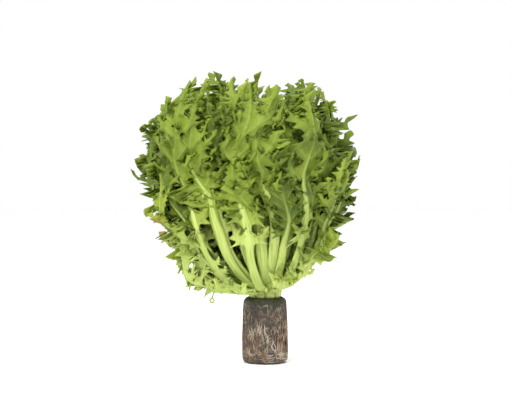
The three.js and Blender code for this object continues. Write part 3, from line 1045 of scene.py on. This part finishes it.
def leaf_finish():
    """Blade, veins, stalk with its fibres, and the light that shines through."""
    g = Graph("leaf")
    along, tone = g.value("along"), g.value("tone")
    rib = g.math("ABSOLUTE", g.value("rib"))
    # The blade: its tone, paler patches, the young green low down, and painted shade at the right of the
    # head.
    patches = g.ramp(g.noise(45), 0.4, 0.65)
    blade = g.mix(g.ramp(tone, 0, 1), CLEAR_GREEN, DEEP_GREEN)
    blade = g.mix(g.ramp(tone, 0, -1), blade, YOUNG_GREEN)
    blade = g.mix(g.math("MULTIPLY", patches, 0.4), blade, YOUNG_GREEN)
    low_down = g.ramp(along, 0.72, 0.3, 0, 0.9)
    blade = g.mix(low_down, blade, YOUNG_GREEN)
    fine = g.ramp(g.noise(240, 2), 0.3, 0.7, 0, 0.25)
    blade = g.mix(fine, blade, YOUNG_GREEN)
    # Painted shade: where the tone runs past its random range, as at the right of the head, the blade is
    # painted a deeper green; a few dark leaves get some of it too.
    tone_and_painted_shade = g.ramp(tone, 0.9, 2.2, 0, 0.85)
    blade = g.mix(tone_and_painted_shade, blade, TONE_AND_PAINTED_SHADE_GREEN)
    # How pale each point is, because a vein, the rib or the stalk is there.
    vein = g.math("MULTIPLY", g.ramp(g.value("vein"), 1.3, 0.3), g.ramp(along, 0.4, 0.7, 0.45, 0.13))
    on_rib = g.math("MULTIPLY", g.ramp(rib, 1.5, 0.8), g.ramp(along, 0.5, 0.8, 1, 0.15))
    stalk = g.ramp(along, 0.56, 0.3)
    light = g.math("MAXIMUM", g.math("MAXIMUM", vein, on_rib), stalk)
    # Fibres: a noise that is fine across the rib and drawn out along it, and differs by leaf.
    across = g.node("ShaderNodeCombineXYZ", X=g.math("MULTIPLY", g.value("rib"), 2.6))
    g.give(across, "Y", g.math("MULTIPLY", along, 7))
    g.give(across, "Z", g.math("MULTIPLY", tone, 9))
    fibres = g.node("ShaderNodeTexNoise", Vector=across.outputs[0], Scale=1, Detail=2).outputs[0]
    juicy = g.mix(g.ramp(fibres, 0.44, 0.68, 0, 0.7), PALE_RIB, FIBRE_GREEN)
    colour = g.mix(g.value("dry"), g.mix(light, blade, juicy), DRY_TIP)
    g.give(g.shader, "Base Color", colour)
    g.give(g.shader, "Roughness", g.ramp(g.noise(90), 0.3, 0.7, 0.36, 0.52))
    g.shader.inputs["Specular IOR Level"].default_value = LEAF_GLOSS
    # The fine relief of cells, buckles and fibres, and the light that comes through the blade.
    net = g.ramp(g.net(380, g.place()), 0, 0.12)
    height = g.math("ADD", g.math("ADD", net, g.noise(160)), g.math("MULTIPLY", fibres, stalk))
    through = g.node("ShaderNodeBsdfTranslucent", Normal=g.bump(0.3, 0.7 * MM, height))
    # The light through the blade is darkened by the same painted shade.
    g.give(through, "Color", g.mix(light, g.mix(tone_and_painted_shade, LIGHT_THROUGH, CLEAR_GREEN), PALE_RIB))
    both = g.node("ShaderNodeMixShader")
    g.give(both, "0", LIGHT_SHARE)
    g.give(both, "1", g.shader.outputs[0])
    g.give(both, "2", through.outputs[0])
    g.give(g.output, "Surface", both.outputs[0])
    return g.material


LEAF_FINISH = leaf_finish()

# %% [markdown]
# Each leaf is its own piece and rides on the head's one body. A leaf that the construction has stands
# for its solid.

# %% The leaves
triangle_count = 0
for leaf in LEAVES + LEAVES_BETWEEN:
    blade = bpy.data.objects.new("fine_" + leaf["name"], leaf_mesh(leaf))
    bpy.context.scene.collection.objects.link(blade)
    blade.data.materials.append(LEAF_FINISH)
    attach(blade, "root")
    if leaf["name"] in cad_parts:
        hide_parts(leaf["name"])
    triangle_count += sum(len(face.vertices) - 2 for face in blade.data.polygons)
print("leaves:", len(LEAVES) + len(LEAVES_BETWEEN), "with", triangle_count, "triangles")

# %% [markdown]
# The crown is the short stem that all the leaves grow from. It starts as a disc that is pulled up ring
# by ring to a blunt cone. The leaf bases round it leave it fluted, with a cleft between each two that
# the finish darkens as painted shade, and a low noise makes its skin uneven where old leaves came away.

# %% The crown
CROWN_SIDES = 44
FLUTES = 9
FLUTE_TURN = 0.4
FLUTE_DEPTH = 0.11
FLUTE_SHARPNESS = 5
FLUTE_TWIST = 8
CROWN_SWELL = 1.04
# Each ring of the crown: its radius and its height in millimetres.
CROWN_PROFILE = [(13, 67), (16, 69), (17.3, 72), (17, 77), (14, 85), (9.5, 92), (5.4, 98), (2, 101)]


def deselect_all():
    bpy.ops.object.select_all(action="DESELECT")


def select_only(obj):
    deselect_all()
    obj.select_set(True)
    bpy.context.view_layer.objects.active = obj


def apply_modifier(obj, name, kind, **settings):
    """Adds a modifier, sets it and applies it."""
    modifier = obj.modifiers.new(name, kind)
    for key, value in settings.items():
        setattr(modifier, key, value)
    bpy.context.view_layer.objects.active = obj
    bpy.ops.object.modifier_apply(modifier=name)


def roughen(obj, name, size, strength):
    """Moves the skin in and out by a cloud noise of this size and strength, in millimetres."""
    texture = bpy.data.textures.new(name, "CLOUDS")
    texture.noise_scale = size * MM
    apply_modifier(obj, name, "DISPLACE", texture=texture, strength=strength * MM, texture_coords="LOCAL")


def settle(obj):
    """Puts the object's place into its mesh."""
    select_only(obj)
    bpy.ops.object.transform_apply(location=True, rotation=True, scale=True)


deselect_all()
radius, height = CROWN_PROFILE[0]
bpy.ops.mesh.primitive_circle_add(
    vertices=CROWN_SIDES, radius=radius * MM, fill_type="NGON", location=(0, 0, height * MM)
)
crown = bpy.context.object
crown.name = "fine_crown"
bpy.ops.object.mode_set(mode="EDIT")
bpy.ops.mesh.select_all(action="SELECT")
for next_radius, next_height in CROWN_PROFILE[1:]:
    bpy.ops.mesh.extrude_region_move(TRANSFORM_OT_translate={"value": (0, 0, (next_height - height) * MM)})
    share = next_radius / radius
    bpy.ops.transform.resize(value=(share, share, 1))
    radius, height = next_radius, next_height
bpy.ops.mesh.select_all(action="SELECT")
bpy.ops.mesh.normals_make_consistent(inside=False)
bpy.ops.object.mode_set(mode="OBJECT")
settle(crown)
apply_modifier(crown, "round", "SUBSURF", levels=2, render_levels=2)
cleft = crown.data.attributes.new("cleft", "FLOAT", "POINT")
for vertex in crown.data.vertices:
    turn = math.atan2(vertex.co.y, vertex.co.x)
    swing = math.cos(FLUTES * (turn - FLUTE_TURN + FLUTE_TWIST * vertex.co.z))
    sunk = (0.5 + 0.5 * swing) ** FLUTE_SHARPNESS
    cleft.data[vertex.index].value = sunk
    vertex.co.x *= CROWN_SWELL - FLUTE_DEPTH * sunk
    vertex.co.y *= CROWN_SWELL - FLUTE_DEPTH * sunk
roughen(crown, "crown_skin", 5, 1.0)
crown.data.shade_smooth()
print("crown:", len(crown.data.polygons), "faces")

# %% [markdown]
# The crown's skin is pale, yellow green and a little brown where leaves were pulled off, and its
# clefts are darkened with the same brown as painted shade.

# %% The crown's finish
CROWN_GREEN = (0.33, 0.41, 0.085, 1)
CROWN_PALE = (0.46, 0.52, 0.15, 1)
# The brown of the scars, and of the painted shade in the clefts.
SCAR_AND_PAINTED_SHADE_BROWN = (0.14, 0.12, 0.035, 1)
CROWN_ROUGHNESS = 0.5
JUICY_SHARE = 0.12
JUICY_DEPTH = (0.003, 0.004, 0.001)


def crown_finish():
    """Pale green skin, brown where leaves came away, and painted shade of that brown in the clefts."""
    g = Graph("crown")
    scars = g.ramp(g.noise(150, 4), 0.52, 0.7, 0, 0.7)
    colour = g.mix(g.ramp(g.noise(40), 0.3, 0.7), CROWN_GREEN, CROWN_PALE)
    # Painted shade: the clefts between the leaf bases are darkened with the scars' brown.
    scars_and_painted_shade = g.math("MAXIMUM", scars, g.ramp(g.value("cleft"), 0.4, 1, 0, 0.6))
    g.give(g.shader, "Base Color", g.mix(scars_and_painted_shade, colour, SCAR_AND_PAINTED_SHADE_BROWN))
    g.shader.inputs["Roughness"].default_value = CROWN_ROUGHNESS
    g.shader.inputs["Subsurface Weight"].default_value = JUICY_SHARE
    g.shader.inputs["Subsurface Radius"].default_value = JUICY_DEPTH
    g.bump(0.35, 1.0 * MM, g.noise(260, 4))
    return g.material


crown.data.materials.clear()
crown.data.materials.append(crown_finish())
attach(crown, "root")
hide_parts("crown")

# %% [markdown]
# The root plug is growing mix that the roots hold together, so it keeps the shape of the tray cell it
# grew in. A cylinder gets the rims of its two ends bevelled, an even skin of small faces, and then two
# noises, one for lumps and one for crumbs. Its foot is pressed flat again, because the head stands on it.

# %% The root plug
PLUG_RADIUS = 22.6
PLUG_BEVEL = 5.2
PLUG_BELLY = 0.03
PLUG_BELLY_AT = 0.25
PLUG_BELLY_WAVE = 3
SKIN_FACE = 1.0
PRESSED_FLAT = 0.8


def belly_at(z):
    """How much wider the plug is at a height in millimetres than its radius says."""
    return 1 + PLUG_BELLY * math.cos((z / PLUG_HEIGHT - PLUG_BELLY_AT) * PLUG_BELLY_WAVE)


deselect_all()
bpy.ops.mesh.primitive_cylinder_add(
    vertices=64, radius=PLUG_RADIUS * MM, depth=PLUG_HEIGHT * MM, location=(0, 0, PLUG_HEIGHT / 2 * MM)
)
plug = bpy.context.object
plug.name = "fine_root_plug"
bpy.ops.object.mode_set(mode="EDIT")
bpy.ops.mesh.select_all(action="DESELECT")
bpy.ops.object.mode_set(mode="OBJECT")
for edge in plug.data.edges:
    ends = [plug.data.vertices[i].co.z for i in edge.vertices]
    edge.select = abs(ends[0] - ends[1]) < 1e-6
bpy.ops.object.mode_set(mode="EDIT")
bpy.ops.mesh.select_mode(type="EDGE")
bpy.ops.mesh.bevel(offset=PLUG_BEVEL * MM, segments=4, profile=0.5)
bpy.ops.object.mode_set(mode="OBJECT")
settle(plug)
for vertex in plug.data.vertices:
    belly = belly_at(vertex.co.z / MM)
    vertex.co.x *= belly
    vertex.co.y *= belly
apply_modifier(plug, "skin", "REMESH", mode="VOXEL", voxel_size=SKIN_FACE * MM)
roughen(plug, "lumps", 9, 2.2)
roughen(plug, "crumbs", 2.4, 1.3)
for vertex in plug.data.vertices:
    if vertex.co.z < PRESSED_FLAT * MM:
        vertex.co.z = 0
plug.data.shade_smooth()
print("root plug:", len(plug.data.polygons), "faces")

# %% [markdown]
# Growing mix is dark, damp and crumbly. Strands run down its side, which here are noise drawn out along
# the height, and fine root hairs web it: the borders of bent cells. The top is darkest, with painted
# shadow where the crown and the leaves hang over it.

# %% The root plug's finish
SOIL_DARK = (0.020, 0.016, 0.010, 1)
SOIL_LIGHT = (0.066, 0.056, 0.040, 1)
SOIL_BROWN = (0.075, 0.042, 0.023, 1)
SOIL_PAINTED_SHADOW = (0.030, 0.031, 0.014, 1)
STRAND_TAN = (0.210, 0.150, 0.098, 1)
ROOT_HAIR_GREY = (0.330, 0.305, 0.260, 1)
# The heights, in metres, between which the painted shadow under the leaves darkens the skin, and how ragged
# its border is.
PAINTED_SHADOW_FROM = 0.0575
PAINTED_SHADOW_FULL = 0.0625
PAINTED_SHADOW_RAGGED = 0.009
HAIR_BENDS = 0.012
STRAND_STRETCH = (1, 1, 0.2)


def plug_finish():
    """Crumbly mix, strands down its side, a web of root hairs, and painted shadow over its top."""
    g = Graph("root_plug")
    place = g.place()
    drawn = g.node("ShaderNodeMapping", Vector=place, Scale=STRAND_STRETCH).outputs[0]
    threads = g.node("ShaderNodeTexNoise", Vector=drawn, Scale=620, Detail=3, Roughness=0.6).outputs[0]
    bent = g.node("ShaderNodeVectorMath", {"operation": "SCALE"}, Scale=HAIR_BENDS)
    g.give(bent, "Vector", g.node("ShaderNodeTexNoise", Vector=place, Scale=110, Detail=2).outputs["Color"])
    where = g.node("ShaderNodeVectorMath", {"operation": "ADD"})
    g.give(where, "0", place)
    g.give(where, "1", bent.outputs[0])
    web = g.ramp(g.net(260, where.outputs[0]), 0.09, 0.02)
    hairs = g.math("MULTIPLY", web, g.ramp(g.noise(70, 2), 0.42, 0.6, 0.1, 0.8))
    crumbs = g.noise(420, 4, 0.65)
    soil = g.mix(g.ramp(crumbs, 0.35, 0.68), SOIL_DARK, SOIL_LIGHT)
    soil = g.mix(g.ramp(g.noise(65, 2), 0.5, 0.68, 0, 0.6), soil, SOIL_BROWN)
    strands = g.math("MULTIPLY", g.ramp(threads, 0.54, 0.66), g.ramp(g.noise(60, 2), 0.4, 0.62, 0.05, 0.7))
    side = g.mix(hairs, g.mix(strands, soil, STRAND_TAN), ROOT_HAIR_GREY)
    height = g.node("ShaderNodeSeparateXYZ", Vector=place).outputs["Z"]
    ragged = g.math("ADD", height, g.ramp(g.noise(75), 0.3, 0.7, -PAINTED_SHADOW_RAGGED, PAINTED_SHADOW_RAGGED))
    # Painted shadow: the top of the plug, under the crown and the leaves, is darkened.
    g.give(g.shader, "Base Color", g.mix(g.ramp(ragged, PAINTED_SHADOW_FROM, PAINTED_SHADOW_FULL, 0, 0.93), side, SOIL_PAINTED_SHADOW))
    g.give(g.shader, "Roughness", g.ramp(crumbs, 0.3, 0.7, 0.6, 0.95))
    rough = g.math("ADD", crumbs, g.math("MULTIPLY", g.math("ADD", threads, hairs), 0.6))
    g.bump(0.7, 1.2 * MM, rough)
    return g.material


plug.data.materials.clear()
plug.data.materials.append(plug_finish())
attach(plug, "root")
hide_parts("root_plug")

# %% [markdown]
# Roots run down the side of the plug and, where they meet the cell's floor, turn and circle round its
# foot. Finer ones wind about over the skin. Each root is a curve with a round section, and all of them
# become one mesh.

# %% The roots
ROOT_COUNT = 90
WINDING_COUNT = 90
ROOT_POINTS = 34
ROOT_DRAWS = 40
WINDING_DRAWS = 60
# The number of the draw that gives a root its radius, and the least and most of it in millimetres.
ROOT_RADII = (70, 0.24, 0.52)
WINDING_RADII = (71, 0.1, 0.24)


def plug_radius(z):
    """The plug's radius at a height, in millimetres."""
    near = max(0, PLUG_BEVEL - min(z, PLUG_HEIGHT - z))
    return PLUG_RADIUS * belly_at(z) - (PLUG_BEVEL - math.sqrt(max(0, PLUG_BEVEL**2 - near**2)))


def drawer(number, first):
    """A short way to one root's draws, which are numbered from first on."""

    def draw(i, low, high):
        return chance(number, first + i, low, high)

    return draw


def root_path(number):
    """The points of one root, from under the plug's shoulder to its end near the foot."""
    draw = drawer(number, ROOT_DRAWS)
    turn = draw(0, 0, 2 * math.pi)
    top = PLUG_HEIGHT - draw(1, 5, 30)
    floor_height = draw(2, 1.6, 13)
    way_round = draw(3, 0.15, 1.1) * (1 if draw(4, 0, 1) > 0.4 else -1)
    reach_down = draw(5, 0.45, 0.8)
    sunk = draw(6, -0.2, 0.5)
    points = []
    for i in range(ROOT_POINTS):
        t = i / (ROOT_POINTS - 1)
        down = min(1, t / reach_down)
        z = floor_height + (top - floor_height) * (1 - down) ** 1.1
        around = max(0, t - reach_down * 0.75) / (1 - reach_down * 0.75)
        a = turn + way_round * around**1.4
        a += 0.09 * math.sin(z / draw(7, 4, 9) + draw(8, 0, 6)) + 0.03 * math.sin(z / 1.7 + number)
        z += 0.8 * math.sin(a * draw(9, 5, 11))
        r = plug_radius(max(z, 1)) + 0.45 - sunk * (0.5 + 0.5 * math.sin(6 * t + number))
        points.append((r * math.cos(a) * MM, r * math.sin(a) * MM, max(z, 0.8) * MM))
    return points


def winding_path(number):
    """The points of a fine root that winds about one place on the skin."""
    draw = drawer(number, WINDING_DRAWS)
    turn = draw(0, 0, 2 * math.pi)
    height = draw(1, 6, PLUG_HEIGHT - 6)
    points = []
    for i in range(ROOT_POINTS):
        t = i / (ROOT_POINTS - 1)
        across = draw(2, 3, 9) * math.sin(draw(3, 2, 5) * t + draw(4, 0, 6)) + 2 * math.sin(11 * t + number)
        z = height + draw(5, -12, 12) * t + draw(6, 2, 5) * math.sin(draw(7, 4, 9) * t + draw(8, 0, 6))
        z = min(max(z, 1), PLUG_HEIGHT - 2)
        r = plug_radius(z) + 0.5 - draw(9, 0, 0.5)
        a = turn + across / PLUG_RADIUS
        points.append((r * math.cos(a) * MM, r * math.sin(a) * MM, z * MM))
    return points


def tubes(name, paths, radii, roundness=1):
    """One mesh of round tubes along the paths, each thinner towards its ends. Radii in millimetres."""
    curve = bpy.data.curves.new(name, "CURVE")
    curve.dimensions = "3D"
    curve.bevel_depth = MM
    curve.bevel_resolution = roundness
    curve.use_fill_caps = True
    for path, radius in zip(paths, radii):
        spline = curve.splines.new("POLY")
        spline.points.add(len(path) - 1)
        for i, spot in enumerate(path):
            spline.points[i].co = (*spot, 1)
            thick = math.sin(math.pi * i / (len(path) - 1)) ** 0.5
            spline.points[i].radius = radius * (0.35 + 0.65 * thick)
    obj = bpy.data.objects.new(name, curve)
    bpy.context.scene.collection.objects.link(obj)
    select_only(obj)
    bpy.ops.object.convert(target="MESH")
    obj = bpy.context.object
    obj.data.shade_smooth()
    return obj


paths = [root_path(number) for number in range(ROOT_COUNT)]
paths += [winding_path(number) for number in range(WINDING_COUNT)]
radii = [chance(number, *ROOT_RADII) for number in range(ROOT_COUNT)]
radii += [chance(number, *WINDING_RADII) for number in range(WINDING_COUNT)]
roots = tubes("roots", paths, radii)

# %% [markdown]
# Real roots are tan, browner where they are old or wet, and pale where they are young. Nothing on the
# mesh says how far along its root a point is, so two noises place the brown and the pale stretches.

# %% The roots' finish
ROOT_BROWN = (0.12, 0.066, 0.034, 1)
ROOT_TAN = (0.34, 0.235, 0.155, 1)
ROOT_PALE = (0.46, 0.40, 0.32, 1)
ROOT_ROUGHNESS = 0.75


def root_finish():
    """Brown to tan, with pale stretches."""
    g = Graph("roots")
    tan = g.mix(g.ramp(g.noise(110), 0.38, 0.62), ROOT_BROWN, ROOT_TAN)
    pale = g.ramp(g.noise(55, 2), 0.54, 0.66, 0, 0.7)
    g.give(g.shader, "Base Color", g.mix(pale, tan, ROOT_PALE))
    g.shader.inputs["Roughness"].default_value = ROOT_ROUGHNESS
    g.bump(0.4, 0.4 * MM, g.noise(900, 2))
    return g.material


roots.data.materials.append(root_finish())
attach(roots, "root")
print("roots:", ROOT_COUNT + WINDING_COUNT, "with", len(roots.data.polygons), "faces")

# %% [markdown]
# One thin curled end hangs from a low leaf at the left. It is a tube that sets out on the leaf's own
# blade, drops and closes into a ring.

# %% The hanging curl
CURL_LEAF = "leaf_low_1"
CURL_LOBE = 1
CURL_DROP = 8 * MM
CURL_RING = 2.1 * MM
CURL_RADIUS = 0.95
CURL_SWAY = 0.8 * MM
CURL_POINTS = 12
# The ring closes a little past a full turn, and each of its points lies a bit further back.
RING_POINTS = 22
RING_TURNS = 1.05
RING_SHIFT = 0.7 * MM
RING_SLANT = 0.4
RING_STEP_BACK = 0.05

holder = next(leaf for leaf in LEAVES if leaf["name"] == CURL_LEAF)
holder_lobes = lobes_of(holder)
on_blade = np.array([on_lobe(CURL_LOBE, holder_lobes[CURL_LOBE], 0.5, 0)])
x, y, z = standing(holder, *curled(holder_lobes, on_blade))[0].tolist()
path = []
for i in range(CURL_POINTS):
    t = i / CURL_POINTS
    path.append((x + CURL_SWAY * math.sin(5 * t), y, z - CURL_DROP * t))
for i in range(RING_POINTS):
    turn = math.pi / 2 + 2 * RING_TURNS * math.pi * i / (RING_POINTS - 1)
    across, up = CURL_RING * math.cos(turn), CURL_RING * math.sin(turn)
    back = RING_SLANT * across + RING_STEP_BACK * i * MM
    path.append((x - RING_SHIFT + across, y + back, z - CURL_DROP - CURL_RING + up))
curl = tubes("hanging_curl", [path], [CURL_RADIUS], 2)
curl.data.materials.append(LEAF_FINISH)
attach(curl, "root")
print("hanging curl:", len(curl.data.polygons), "faces")
